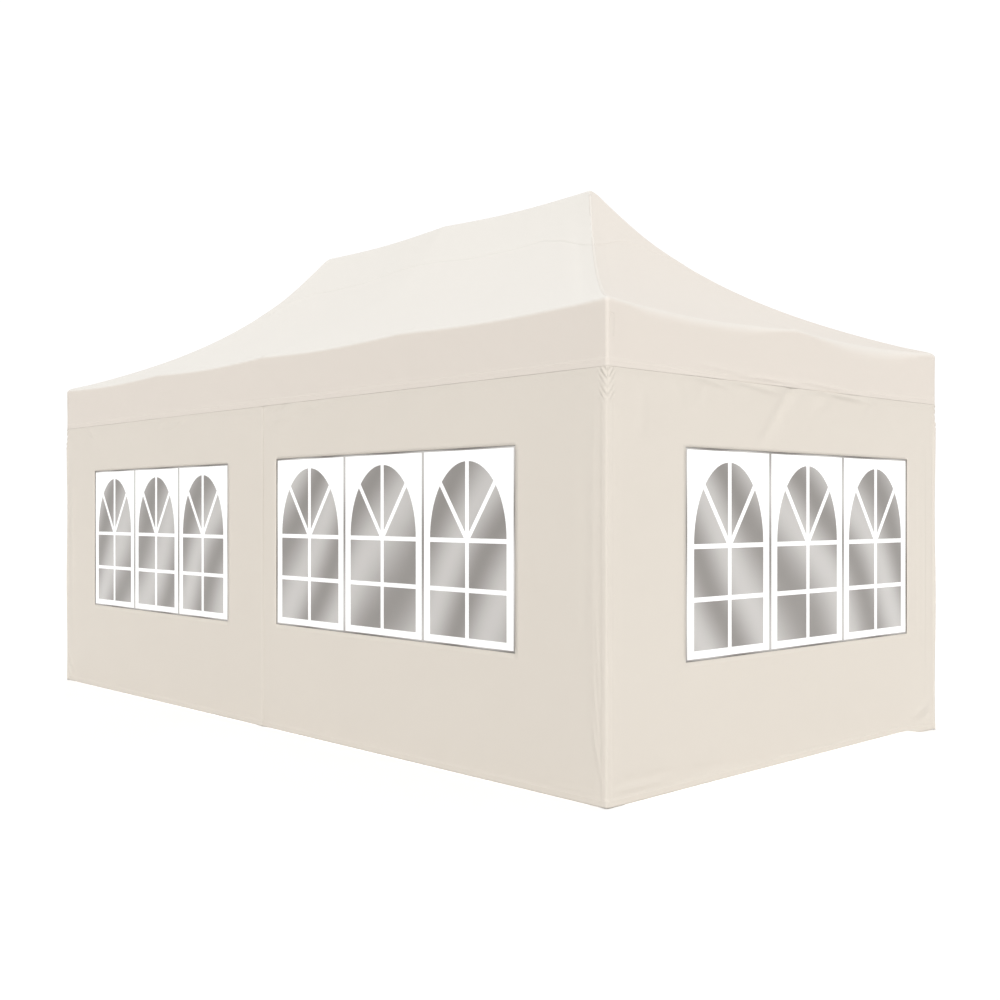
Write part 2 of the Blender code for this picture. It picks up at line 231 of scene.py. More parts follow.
def eave_folds(side, column, down):
    """Creases that fan out up the slope from each joint of the frame at the eave."""
    supports = SIDE_SUPPORTS if side in LONG_SIDES else END_SUPPORTS
    along = np.clip(column, -1, 1) * side_spread(side, down)[0]
    full = side_spread(side, 1.0)[0]
    up = np.clip(1 - down, 1e-4, None)
    lift = np.zeros_like(along)
    for support in supports[1:-1]:
        aside = along - support * full * (1 - EAVE_FOLD_SPREAD * up)
        for lean in EAVE_FOLD_LEANS:
            crease = aside - lean * up * HALF_WIDTH * EAVE_FOLD_SPREAD
            lift += EAVE_FOLD_RISE * ridge(crease, 0.012 + 0.10 * up) \
                * np.exp(-up / EAVE_FOLD_REACH)
    return lift * (1 - smooth(np.abs(column), 0.86, 0.97))


def hip_folds(side, column, down):
    """Long shallow folds beside each hip, strongest half-way down. Each has a rise, a
    distance from the hip and a width."""
    beside = (1 - np.clip(np.abs(column), 0, 1)) * side_spread(side, down)[0]
    strength = np.sin(np.pi * np.clip(down, 0, 1)) ** 0.7
    return strength * sum(rise * ridge(beside - place, width)
                          for rise, place, width in HIP_FOLDS)


# %% Rows and columns of the cover
SEAM_ROW, SEAM_STEP = 0.172, 0.0022


def row_shares():
    """Shares of the way down the slope: close together at the top and at the seam."""
    start = [0, 0.003, 0.007, 0.012, 0.018, 0.026, 0.036, 0.048, 0.062, 0.08, 0.1, 0.12,
             0.14, 0.157, 0.166, 0.169, SEAM_ROW, SEAM_ROW + 0.0006, 0.178, 0.19]
    return np.array(start + list(np.linspace(0.21, 1, 36)))


def at_seam(side, column, row):
    """Moves the rows near the seam so that one of them follows it."""
    pull = smooth(row, 0.02, SEAM_ROW) * (1 - smooth(row, SEAM_ROW + 0.001, 0.75))
    return row + (seam_share(side, column) - SEAM_ROW) * pull


def columns_for(side):
    """Even columns along a side, and five more round each half corner."""
    count = 148 if side in LONG_SIDES else 76
    corner = 1 + np.array([0.2, 0.4, 0.6, 0.8, 1.0])
    return np.concatenate([-corner[::-1], np.linspace(-1, 1, count + 1), corner])


# %% Folds from a list
def fold_field(run, height, folds):
    """How far the cloth stands out where the listed folds run. Each fold is a line, a width
    and a rise. A pair of widths makes one flank of the fold steeper than the other, and a
    last word, crisp, makes a sharp crease of it."""
    out = np.zeros(np.broadcast_shapes(np.shape(run), np.shape(height)))
    for (a0, h0), (a1, h1), width, rise, *crisp in folds:
        length = math.hypot(a1 - a0, h1 - h0)
        ua, uh = (a1 - a0) / length, (h1 - h0) / length
        share = np.clip(((run - a0) * ua + (height - h0) * uh) / length, 0, 1)
        aside = -(run - a0) * uh + (height - h0) * ua
        first, second = width if isinstance(width, tuple) else (width, width)
        wide = np.where(aside < 0, first, second)
        power = 1.2 if crisp else 2
        out += rise * np.sin(np.pi * share) ** 0.7 * np.exp(-np.abs(aside / wide) ** power)
    return out


# %% [markdown]
# At the eave the cloth bends round the frame in a small curve. It lies looser in the bays of
# the two ends, so the curve is larger there. The valance ends in a doubled hem, which stands
# out a little and hangs in folds on the ends. The rows are close together at the hem, so
# that its step and its lower edge stay crisp.

# %% Eave and valance
EAVE_TURN, CORNER_TURN, NEAR_SLACK, FAR_SLACK = 0.0135, 0.018, 0.020, 0.034
HEM_BAND, HEM_STEP, HEM_LIP = 0.040, 0.0006, 0.0008
CORNER_PAD, PAD_OUT = 0.003, 0.8
SLOPE_WAVE, VALANCE_WAVE = 0.0016, 0.0004
STEP_SHARE = 1 - HEM_BAND / (EAVE_Z - HEM_Z)
END_HEM_FOLDS = [
    ((-0.86, 2.095), (-0.26, 2.050), 0.014, 0.0050),
    ((-0.42, 2.066), (0.04, 2.044), 0.013, 0.0085),
    ((-0.02, 2.075), (0.64, 2.038), 0.012, 0.0045),
    ((-1.00, 2.034), (-0.66, 2.030), 0.008, 0.0030),
    ((-0.30, 2.032), (-0.02, 2.030), 0.008, 0.0030),
    ((0.34, 2.032), (0.66, 2.030), 0.008, 0.0020),
    ((0.70, 2.060), (1.20, 2.040), 0.012, 0.0020),
]


def corner_pad(column):
    """How far the head of a corner leg pushes the cloth up at this column."""
    return CORNER_PAD * smooth(np.abs(column), 0.93, 1.0)


def outward_of(side, column):
    """The level direction in which the cloth faces at this column."""
    turn = corner_turn(column)
    return on_side(side, np.sin(turn), np.cos(turn), 0.0)


def eave_turn(side, column):
    """How large the rounded eave is, as a share of the slope. It is larger at the corners,
    and largest in the slack cloth of the two bays of each end."""
    turn = EAVE_TURN + (CORNER_TURN - EAVE_TURN) * smooth(np.abs(column), 0.9, 1.0)
    if side in LONG_SIDES:
        return turn
    near = smooth(column, -0.96, -0.80) * (1 - smooth(column, -0.30, -0.04))
    far = smooth(column, 0.05, 0.40) * (1 - smooth(column, 0.62, 0.96))
    return turn + NEAR_SLACK * near + FAR_SLACK * far


def cover_point(side, column, down):
    """A point of the slope with its small folds and waves."""
    slope = roof_point(side, column, down)
    lift = eave_folds(side, column, down) + hip_folds(side, column, down)
    waves = SLOPE_WAVE * wave_noise(slope, 0.42, 3.1) * smooth(down, 0.02, 0.2)
    pad = corner_pad(column) * smooth(down, 0.9, 0.98)
    slope[..., 2] += lift * smooth(down, 0, 0.08) + waves + pad
    return slope


def valance_point(side, column, share):
    """A point of the valance, at a share of the way from the rounded eave to the hem."""
    pad = corner_pad(column)
    point = roof_point(side, column, np.ones(np.broadcast_shapes(column.shape, share.shape)))
    top = point[..., 2] + pad - eave_turn(side, column) * HALF_WIDTH
    point[..., 2] = top + (HEM_Z - top) * share
    along = np.clip(column, -1, 1) * side_spread(side, 1.0)[0]
    folds = [] if side in LONG_SIDES else END_HEM_FOLDS
    wander = VALANCE_WAVE * (1 + wave_noise(point, 0.3, 7.7)) * share
    wander = (wander + fold_field(along, point[..., 2], folds)) \
        * (1 - smooth(np.abs(column), 0.96, 1.0))
    out = HEM_LIP * smooth(share, 0.93, 0.995) + HEM_STEP * (share > STEP_SHARE + 0.002)
    out = out + PAD_OUT * pad * (1 - share) ** 2 + wander
    return point + outward_of(side, column) * out[..., None]


# %% Grid of the cover
SIDE_LIGHT, END_LIGHT = (1.0, 1.0), (0.3, 0.65)


def cover_grid(side):
    """Rows of points for one side: the slope, the rounded eave and the valance. With them
    comes how much of the sunlit colour each row takes, from 1 down to 0."""
    column = columns_for(side)[None, :]
    turn = eave_turn(side, column)
    row = row_shares()[:, None]
    down = at_seam(side, column, row) * (1 - turn)
    slope = cover_point(side, column, down)
    slope[..., 2] += SEAM_STEP * (row < SEAM_ROW + 0.0003)
    pad = corner_pad(column)
    eave = roof_point(side, column, np.ones_like(down[:1]))
    eave = eave + outward_of(side, column) * (PAD_OUT * pad)[..., None]
    eave[..., 2] += pad
    below = eave.copy()
    below[..., 2] -= turn * HALF_WIDTH
    slope_light, eave_light = SIDE_LIGHT if side in LONG_SIDES else END_LIGHT
    rows, sunlit = [slope], [slope_light] * len(slope)
    for share in (0.14, 0.29, 0.43, 0.57, 0.71, 0.86):
        rows.append(slope[-1:] * (1 - share) ** 2 + eave * 2 * share * (1 - share)
                    + below * share ** 2)
        sunlit.append(eave_light * (1 - smooth(share, 0.3, 0.95)))
    drops = np.concatenate([np.linspace(0, 0.60, 9), np.linspace(0.63, STEP_SHARE, 9),
                            [STEP_SHARE + 0.004], np.linspace(STEP_SHARE + 0.02, 0.998, 9),
                            [1]])
    rows.append(valance_point(side, column, drops[:, None]))
    sunlit.extend([0.0] * len(drops))
    return np.concatenate(rows), sunlit


# %% [markdown]
# A grid of points becomes a mesh with one face for each cell. The flat layout of the cloth
# is stored beside it, in metres, as a UV map named cut, because a weave follows the cloth
# and not the room. Each length down a column is the sum of the steps between its points.

# %% Sheets from grids
WELD = 4e-5


def flat_layout(grid, along):
    """For each grid point, its place on the flat cloth in metres."""
    steps = np.linalg.norm(np.diff(grid, axis=0), axis=-1)
    down = np.concatenate([np.zeros((1, grid.shape[1])), np.cumsum(steps, axis=0)])
    return np.stack([np.broadcast_to(along, down.shape), -down], axis=-1)


def placed(name, data):
    """An object at the origin that shows this mesh, curve, lamp or camera."""
    holder = bpy.data.objects.new(name, data)
    bpy.context.scene.collection.objects.link(holder)
    return holder


def from_bmesh(name, work):
    """An object that shows the mesh that was worked on."""
    mesh = bpy.data.meshes.new(name)
    work.to_mesh(mesh)
    work.free()
    return placed(name, mesh)


def sheet_mesh(name, patches, holes=None):
    """One mesh from several grids. Each comes with its flat layout, and with how sunlit it
    is, as one number or as one for each row."""
    points, faces, layout, sunlit = [], [], [], []
    for grid, flat, row_light in patches:
        start = len(points)
        rows, cols = grid.shape[:2]
        points.extend(grid.reshape(-1, 3).tolist())
        layout.extend(flat.reshape(-1, 2).tolist())
        sunlit.extend(np.repeat(np.broadcast_to(row_light, rows), cols).tolist())
        for r in range(rows - 1):
            for c in range(cols - 1):
                if holes is not None and holes(flat[r, c], flat[r + 1, c + 1]):
                    continue
                a = start + r * cols + c
                faces.append((a, a + cols, a + cols + 1, a + 1))
    mesh = bpy.data.meshes.new(name)
    mesh.from_pydata(points, [], faces)
    cut = mesh.uv_layers.new(name="cut")
    spots = np.zeros(len(mesh.loops), int)
    mesh.loops.foreach_get("vertex_index", spots)
    cut.data.foreach_set("uv", np.array(layout)[spots].ravel())
    shine = mesh.attributes.new("sunlit", "FLOAT", "POINT")
    shine.data.foreach_set("value", sunlit)
    work = bmesh.new()
    work.from_mesh(mesh)
    bmesh.ops.delete(work, geom=[v for v in work.verts if not v.link_faces],
                     context="VERTS")
    bmesh.ops.remove_doubles(work, verts=work.verts, dist=WELD)
    for face in work.faces:
        face.smooth = True
    work.to_mesh(mesh)
    work.free()
    return placed(name, mesh)


def thicken(piece, thickness):
    """Gives a sheet its thickness, inwards from the surface that was drawn."""
    solid = piece.modifiers.new("thickness", "SOLIDIFY")
    solid.thickness, solid.offset = thickness, -1
    return piece


# %% Make the cover
patches, cover_grids = [], {}
for side in SIDES:
    grid, sunlit = cover_grid(side)
    cover_grids[side] = grid
    along = np.clip(columns_for(side), -1, 1)[None, :] * side_spread(side, 1.0)[0]
    patches.append((grid, flat_layout(grid, along), sunlit))
canopy = thicken(sheet_mesh("canopy", patches), CLOTH)
print("canopy", len(canopy.data.polygons), "faces")

# %% [markdown]
# The walls hang inside the valance. Each is 3 m of cloth from leg to leg, hung by its top
# edge, with a doubled hem at the foot and sides and a hole for the windows. Gravity makes
# the folds run down or slantwise from a hook or a corner, so each fold is placed from the
# photograph as a line with a width and a height, and faint waves are added.

# %% The plane of a wall
WALL_ROUND = 0.015


def wall_limits(side):
    """Half the run of a wall side up to its corners, and how far out its face stands."""
    reach, stand = HALF_LENGTH - WALL_INSET, HALF_WIDTH - WALL_INSET
    return (reach, stand) if side in LONG_SIDES else (stand, reach)


def corner_run(side):
    """The run at which a wall has turned half-way round its corner and meets the next."""
    return wall_limits(side)[0] - WALL_ROUND * (1 - math.pi / 4)


def wall_point(side, run, height, out):
    """A point of a wall, which turns round the corner in its last few millimetres."""
    reach, stand = wall_limits(side)
    turn = np.clip((np.abs(run) - (reach - WALL_ROUND)) / WALL_ROUND, 0, math.pi / 4)
    along = np.minimum(np.abs(run), reach - WALL_ROUND) + (WALL_ROUND + out) * np.sin(turn)
    off = stand - WALL_ROUND + (WALL_ROUND + out) * np.cos(turn)
    return on_side(side, np.sign(run) * along, off, height)


# %% Folds in a wall
CHEVRON_PITCH, CHEVRON_SLANT = 0.038, 1.3


def corner_pleats(side, run, height):
    """Where two walls are gathered round a leg: chevrons under the valance, ribs below. Two
    corners bulge, and at the other two the end walls bend in towards the leg."""
    aside, drop = corner_run(side) - np.abs(run), HEM_Z - height
    chevron = np.sin(2 * np.pi * (drop + CHEVRON_SLANT * aside) / CHEVRON_PITCH)
    chevron = chevron * smooth(drop, 0.0, 0.01) * (1 - smooth(drop, 0.10, 0.18))
    chevron *= ((0.0030 + 0.0014 * np.sin(drop / 0.021 + 0.8))
                * (1 - smooth(aside, 0.03, 0.058)))
    sway = aside + 0.004 * np.sin(3.1 * height + 1.0)
    bulging = (run > 0) != (side in LONG_SIDES)
    bulge = 0.0012 + 0.0060 * np.sin(np.pi * (height - 0.25) / 1.12) ** 2
    ribs = (bulge * ridge(aside, 0.018) - 0.0008 * ridge(sway - 0.034, 0.012)
            + 0.0007 * ridge(sway - 0.056, 0.010))
    if side in LONG_SIDES:
        bent = 0.0005 * ridge(sway - 0.080, 0.012) - 0.0005 * ridge(sway - 0.045, 0.012)
    else:
        bent = (0.0005 * ridge(sway - 0.050, 0.008)
                - 0.0026 * smooth(aside, 0.0, 0.010) * (1 - smooth(aside, 0.012, 0.10)))
    return chevron + np.where(bulging, ribs, bent) * smooth(drop, 0.06, 0.16)


# %% Surface of a wall
WALL_HEM, SIDE_HEM, HEM_RISE = 0.040, 0.030, 0.0008
TUCK, TUCK_DEPTH, FLUSH, SIDE_SWELL, END_SWELL = 0.020, 0.0011, 0.0016, 0.0010, 0.0017
WALL_WAVE, LIFT_FADE = 0.0018, 0.5


def wall_surface(wall, run, height):
    """Points of one wall with its folds, and with its foot lifted where asked. The wall is
    its side, its two ends, its window opening, its folds and its lift."""
    side, low, high, ((sill_a, sill_h), (head_a, head_h)), folds, lift = wall
    aside = corner_run(side) - np.abs(run)
    near_window = np.maximum.reduce([sill_a - run, run - head_a, sill_h - height,
                                     height - head_h])
    seed = len(folds) * 3.7
    waves = np.array([noise.noise(Vector((a * 2.3 + seed, 0.0, h)))
                      for a, h in zip(run.ravel(), height.ravel())]).reshape(run.shape)
    out = (fold_field(run, height, folds) + WALL_WAVE * waves) * smooth(aside, 0.0, 0.03)
    out = (out + corner_pleats(side, run, height)) * smooth(near_window, 0.0, 0.08)
    swell = (SIDE_SWELL if side in LONG_SIDES else END_SWELL) * smooth(
        height, HEM_Z - 0.035, HEM_Z - 0.004)
    out = (out + FLUSH + swell) * (1 - smooth(height, HEM_Z - 0.0024, HEM_Z + 0.0014))
    doubled = (height < WALL_HEM - 5e-4) | (aside < SIDE_HEM) & (aside > 0.012)
    out += HEM_RISE * doubled * (1 - smooth(height, 1.99, 2.02))
    if low > -wall_limits(side)[0] / 2:
        out = out - (TUCK_DEPTH + np.maximum(out - FLUSH, 0)) * (
            1 - smooth(run, TUCK + 0.004, TUCK + 0.10))
    share = (run - low) / (high - low)
    climb = lift * share * (1 - smooth(share, 0.87, 0.955)) \
        * np.clip(1 - height / LIFT_FADE, 0, 1)
    return wall_point(side, run, height + climb, out)


# %% Grid of a wall
def spaced(stops):
    """Positions from the first stop to the last. Each stop gives the step after it."""
    places = [stops[0][0]]
    for (start, step), (end, _) in zip(stops, stops[1:]):
        count = max(1, math.ceil((end - start) / step - 1e-6))
        places.extend(start + (end - start) * (k + 1) / count for k in range(count))
    return np.array(places)


def wall_grid(wall):
    """Rows of points of one wall, from its top down, close together where it is folded."""
    side, low, high, ((sill_a, sill_h), (head_a, head_h)), *_ = wall
    reach = wall_limits(side)[0]
    starts, ends = [(low, 0.007)], [(high - 0.05, 0.007)]
    if -low > reach / 2:
        starts = [(low, 0.0025), (low + 0.010, 0.005), (low + 0.08, 0.009)]
    if high > reach / 2:
        ends = [(high - 0.14, 0.009), (high - 0.08, 0.005), (high - 0.010, 0.0025)]
    middle = [(starts[-1][0] + 0.06, 0.026), (sill_a, 0.026), (head_a, 0.026)]
    run = spaced(starts + middle + ends + [(high, None)])
    height = spaced([
        (WALL_FOOT, 0.009), (WALL_HEM - 0.001, 0.001), (WALL_HEM, 0.012), (0.16, 0.03),
        (sill_h, 0.03), (head_h, 0.02), (1.84, 0.008), (HEM_Z - 0.004, 0.0007),
        (HEM_Z + 0.0016, 0.02), (WALL_TOP, None)])[::-1]
    run, height = np.meshgrid(run, height)
    return wall_surface(wall, run, height), np.stack([run, height], axis=-1)


# %% Folds seen on each wall
FRONT_RIGHT_FOLDS = [
    ((2.90, 1.95), (2.905, 0.25), 0.030, 0.0022), ((2.80, 1.90), (2.78, 0.60), 0.05, 0.002),
    ((2.925, 0.95), (2.955, 0.42), 0.007, 0.0015),
    ((2.910, 0.62), (2.95, 0.24), 0.007, 0.0015),
    ((2.905, 0.40), (2.955, 0.12), 0.008, 0.0024), ((2.93, 0.30), (2.975, 0.08), 0.007, 0.002),
    ((0.46, 2.035), (0.16, 1.90), 0.030, 0.008), ((0.30, 2.035), (0.05, 1.93), 0.018, -0.005),
    ((0.78, 2.03), (0.52, 1.95), 0.020, 0.005), ((2.60, 0.055), (2.95, 0.06), 0.009, 0.003),
]
FRONT_LEFT_FOLDS = [
    ((-0.95, 2.035), (-1.25, 1.93), 0.025, 0.006), ((-1.30, 2.03), (-1.42, 1.95), 0.02, 0.004),
    ((-2.90, 1.9), (-2.88, 0.2), 0.04, 0.005), ((-2.6, 2.03), (-2.45, 1.92), 0.02, 0.004),
    ((-2.98, 0.25), (-2.85, 0.08), 0.02, 0.006), ((-2.97, 0.12), (-2.90, 0.03), 0.012, 0.006),
]
RIGHT_FOLDS = [
    ((0.03, 2.135), (-0.40, 1.62), (0.026, 0.036), -0.0095, "crisp"),
    ((-0.02, 2.06), (-0.52, 1.96), 0.045, 0.0045),
    ((0.10, 2.06), (-0.14, 1.84), (0.03, 0.02), 0.0020),
    ((0.30, 2.018), (0.66, 2.006), 0.012, 0.0030),
    ((-0.92, 2.035), (-0.60, 1.985), 0.012, 0.006),
    ((-0.60, 2.035), (-0.15, 1.985), 0.014, 0.008),
    ((-1.02, 2.03), (-0.95, 1.86), 0.020, 0.005), ((-0.78, 2.02), (-0.86, 1.88), 0.020, -0.004),
    ((0.10, 2.035), (0.75, 1.990), 0.014, 0.009), ((0.35, 2.02), (0.15, 1.90), 0.03, 0.005),
    ((0.74, 2.03), (0.62, 1.90), 0.020, 0.004), ((-1.25, 1.97), (-1.27, 1.70), 0.03, 0.004),
    ((1.36, 1.95), (1.36, 0.12), 0.012, 0.0035), ((1.30, 1.98), (1.30, 0.12), 0.010, 0.003),
    ((-1.485, 0.075), (-1.12, 0.070), 0.013, 0.007),
    ((-1.45, 0.115), (-1.00, 0.105), 0.018, -0.005),
    ((-1.05, 0.09), (-0.45, 0.06), 0.030, -0.004), ((1.46, 0.20), (1.20, 0.085), 0.016, 0.008),
    ((1.44, 0.12), (1.26, 0.05), 0.014, -0.006),
]
RIGHT_LIFT = 0.036

# %% Make the six walls
WALLS = {
    "front_right": ("front", -TUCK, corner_run("front"), FRONT_RIGHT_FOLDS, 0.0),
    "front_left": ("front", -corner_run("front"), TUCK, FRONT_LEFT_FOLDS, 0.0),
    "right": ("right", -corner_run("right"), corner_run("right"), RIGHT_FOLDS, RIGHT_LIFT),
}
TWINS = {"front_right": "back_left", "front_left": "back_right", "right": "left"}
TURNED = {"front": "back", "right": "left"}


def opening_of(node, side):
    """The window opening of a wall, along the side and up, read from its CAD window."""
    low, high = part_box(node)
    pick = 0 if side == "front" else 1
    return (low[pick], low.z), (high[pick], high.z)


walls, openings, wall_rules = {}, {}, {}
for name, (side, low, high, folds, lift) in WALLS.items():
    opening = opening_of("window_" + name, side)
    (sill_a, sill_h), (head_a, head_h) = opening

    def in_window(corner, other):
        middle = (np.array(corner) + np.array(other)) / 2
        return sill_a < middle[0] < head_a and sill_h < middle[1] < head_h
    for piece_name, place in ((name, side), (TWINS[name], TURNED[side])):
        wall_rules[piece_name] = (place, low, high, opening, folds, lift)
        grid, flat = wall_grid(wall_rules[piece_name])
        wall = sheet_mesh("wall_cloth_" + piece_name, [(grid, flat, 0.0)], in_window)
        walls[piece_name] = thicken(wall, CLOTH)
        openings[piece_name] = (place, opening)
        print(wall.name, len(wall.data.polygons), "faces")

# %% [markdown]
# Each window is a sheet of clear soft film welded behind the hole in the wall. White arched
# bars are printed on it, so the film shows through eight small panes and as a thin line
# round each of the three prints. The film is one flat sheet, and a print is a flat outline
# with holes, cut once and laid on the film at each place.

# %% Window film
FILM_LAP, FILM_BACK, FILM = 0.012, 0.0014, 0.0005


def film_grid(side, opening):
    """Points of one film sheet, a little larger than its hole and just behind it. Its flat
    layout is mirrored on the ends, so that the painted reflection leans the other way there."""
    (a0, h0), (a1, h1) = opening
    along, height = np.meshgrid(np.linspace(a0 - FILM_LAP, a1 + FILM_LAP, 61),
                                np.linspace(h1 + FILM_LAP, h0 - FILM_LAP, 31))
    mirror = 1 if side in LONG_SIDES else -1
    return (wall_point(side, along, height, -FILM_BACK + 0 * along),
            np.stack([mirror * along, height], axis=-1))


films = {}
for name, (side, opening) in openings.items():
    grid, flat = film_grid(side, opening)
    film = sheet_mesh("window_film_" + name, [(grid, flat, 0.0)])
    films[name] = thicken(film, FILM)
print(len(films), "sheets of film")

# %% Outline of a print
PRINTS, PRINT, PRINT_RISE = 3, 0.0004, 0.0003
SIDE_BORDER, TOP_BORDER, PRINT_GAP = 0.014, 0.011, 0.021
MULLION, RAIL, RIB, RIB_CLIMB = 0.028, 0.024, 0.0265, 0.98
GLASS_SIDE, GLASS_TOP, GLASS_FOOT = 0.051, 0.056, 0.037
SPRING_SHARE, RAIL_SHARE, ARCH_STEPS = 0.537, 0.2815, 48


def clipped(loop, normal, limit):
    """The part of a convex loop where the point times normal is at least limit."""
    kept = []
    for (ax, ay), (bx, by) in zip(loop, loop[1:] + loop[:1]):
        a = ax * normal[0] + ay * normal[1] - limit
        b = bx * normal[0] + by * normal[1] - limit
        if a >= 0:
            kept.append((ax, ay))
        if a * b < 0:
            share = a / (a - b)
            kept.append((ax + (bx - ax) * share, ay + (by - ay) * share))
    return kept


def print_loops(width, height):
    """The outline of one print and its eight holes, round its bottom middle. On each side
    of the mullion a leaning rib cuts the arch in two, with two oblong panes below."""
    half, glass = width / 2, width / 2 - GLASS_SIDE
    top, foot = height - GLASS_TOP, GLASS_FOOT * height
    spring = height * SPRING_SHARE + RAIL / 2
    rail = height * RAIL_SHARE
    loops = [[(-half, 0.0), (half, 0.0), (half, height), (-half, height)]]
    arch = [(glass * math.cos(k * math.pi / ARCH_STEPS),
             spring + (top - spring) * math.sin(k * math.pi / ARCH_STEPS))
            for k in range(ARCH_STEPS + 1)]
    lean = math.hypot(width, RIB_CLIMB)
    for sign in (1, -1):
        half_arch = clipped([(x * sign, y) for x, y in arch], (sign, 0), MULLION / 2)
        line = (RIB_CLIMB / lean * sign, -width / lean)
        offset = line[1] * (spring - RAIL / 2)
        loops.append(clipped(half_arch, line, offset + RIB / 2))
        loops.append(clipped(half_arch, (-line[0], -line[1]), RIB / 2 - offset))
        x0, x1 = MULLION / 2 * sign, glass * sign
        for low, high in ((rail + RAIL / 2, spring - RAIL), (foot, rail - RAIL / 2)):
            loops.append([(x0, low), (x1, low), (x1, high), (x0, high)])
    return loops


def frozen(holder):
    """The plain mesh that an object comes to with its modifiers. The object is removed."""
    ready = holder.evaluated_get(bpy.context.evaluated_depsgraph_get())
    mesh = bpy.data.meshes.new_from_object(ready)
    bpy.data.objects.remove(holder)
    return mesh


def flat_shape(loops, depth):
    """A thin plate with holes, as a mesh in its own flat plane."""
    curve = bpy.data.curves.new("outline", "CURVE")
    curve.dimensions, curve.fill_mode, curve.extrude = "2D", "BOTH", depth / 2
    for loop in loops:
        spline = curve.splines.new("POLY")
        spline.points.add(len(loop) - 1)
        spline.points.foreach_set("co", [v for x, y in loop for v in (x, y, 0, 1)])
        spline.use_cyclic_u = True
    return frozen(placed("outline", curve))


# %% Lay the prints
def laid_prints(name, side, opening):
    """The prints of one window group as one mesh on the face of the film."""
    (a0, h0), (a1, h1) = opening
    pitch = (a1 - a0 - 2 * SIDE_BORDER + PRINT_GAP) / PRINTS
    width, height = pitch - PRINT_GAP, h1 - h0 - 2 * TOP_BORDER
    shape = flat_shape(print_loops(width, height), PRINT)
    work = bmesh.new()
    for number in range(PRINTS):
        middle = a0 + SIDE_BORDER + width / 2 + number * pitch
        laid = shape.copy()
        flat = np.zeros(len(laid.vertices) * 3)
        laid.vertices.foreach_get("co", flat)
        flat = flat.reshape(-1, 3)
        place = wall_point(side, middle + flat[:, 0], h0 + TOP_BORDER + flat[:, 1],
                           PRINT_RISE - FILM_BACK + flat[:, 2])
        laid.vertices.foreach_set("co", place.ravel())
        work.from_mesh(laid)
        bpy.data.meshes.remove(laid)
    bmesh.ops.remove_doubles(work, verts=work.verts, dist=1e-5)
    bmesh.ops.recalc_face_normals(work, faces=work.faces)
    return from_bmesh(name, work)


prints = {name: laid_prints("window_print_" + name, side, opening)
          for name, (side, opening) in openings.items()}
print("print faces", len(prints["right"].data.polygons))

# %% [markdown]
# The cloth is a matt polyester with a plain weave. Its thread is under a millimetre thick,
# so the weave is a small bump on the flat layout, with a slow change of tint over the whole
# cloth and a fine crinkle from folding. The same builder makes every cloth and tape, so
# they belong together.

# %% Node helpers
def new_material(name):
    """A material with only its shader, which it returns with its tree."""
    material = bpy.data.materials.new(name)
    material.use_nodes = True
    tree = material.node_tree
    return material, tree, tree.nodes["Principled BSDF"]


def add_node(tree, kind, settings=None, **inputs):
    """A node with its settings and its unlinked inputs, or links from other nodes."""
    node = tree.nodes.new(kind)
    for key, value in (settings or {}).items():
        setattr(node, key, value)
    for key, value in inputs.items():
        socket = node.inputs[int(key[1:])] if key[0] == "n" and key[1:].isdigit() \
            else node.inputs[key.replace("_", " ")]
        if isinstance(value, bpy.types.NodeSocket):
            tree.links.new(value, socket)
        else:
            socket.default_value = value
    return node


def speckle(tree, scale, place=None, **inputs):
    """Soft random light and dark at this scale, on the piece's own coordinates."""
    if place is None:
        place = add_node(tree, "ShaderNodeTexCoord").outputs["Object"]
    return add_node(tree, "ShaderNodeTexNoise", Vector=place, Scale=scale,
                    **inputs).outputs["Fac"]


def between(tree, share, low, high):
    """A colour that runs from low to high as the share goes from 0 to 1."""
    return add_node(tree, "ShaderNodeMix", {"data_type": "RGBA"}, Factor=share, n6=low,
                    n7=high).outputs[2]


def raised(tree, height, strength, distance, **under):
    """The way the surface faces where a pattern raises it."""
    return add_node(tree, "ShaderNodeBump", Strength=strength, Distance=distance,
                    Height=height, **under).outputs["Normal"]


def set_shader(tree, shader, colour, facing=None, **numbers):
    """Gives the shader its colour, its fine relief and its plain numbers."""
    tree.links.new(colour, shader.inputs["Base Color"])
    if facing is not None:
        tree.links.new(facing, shader.inputs["Normal"])
    for key, value in numbers.items():
        shader.inputs[key.replace("_", " ")].default_value = value


# %% Cloth
YARN = 0.0008


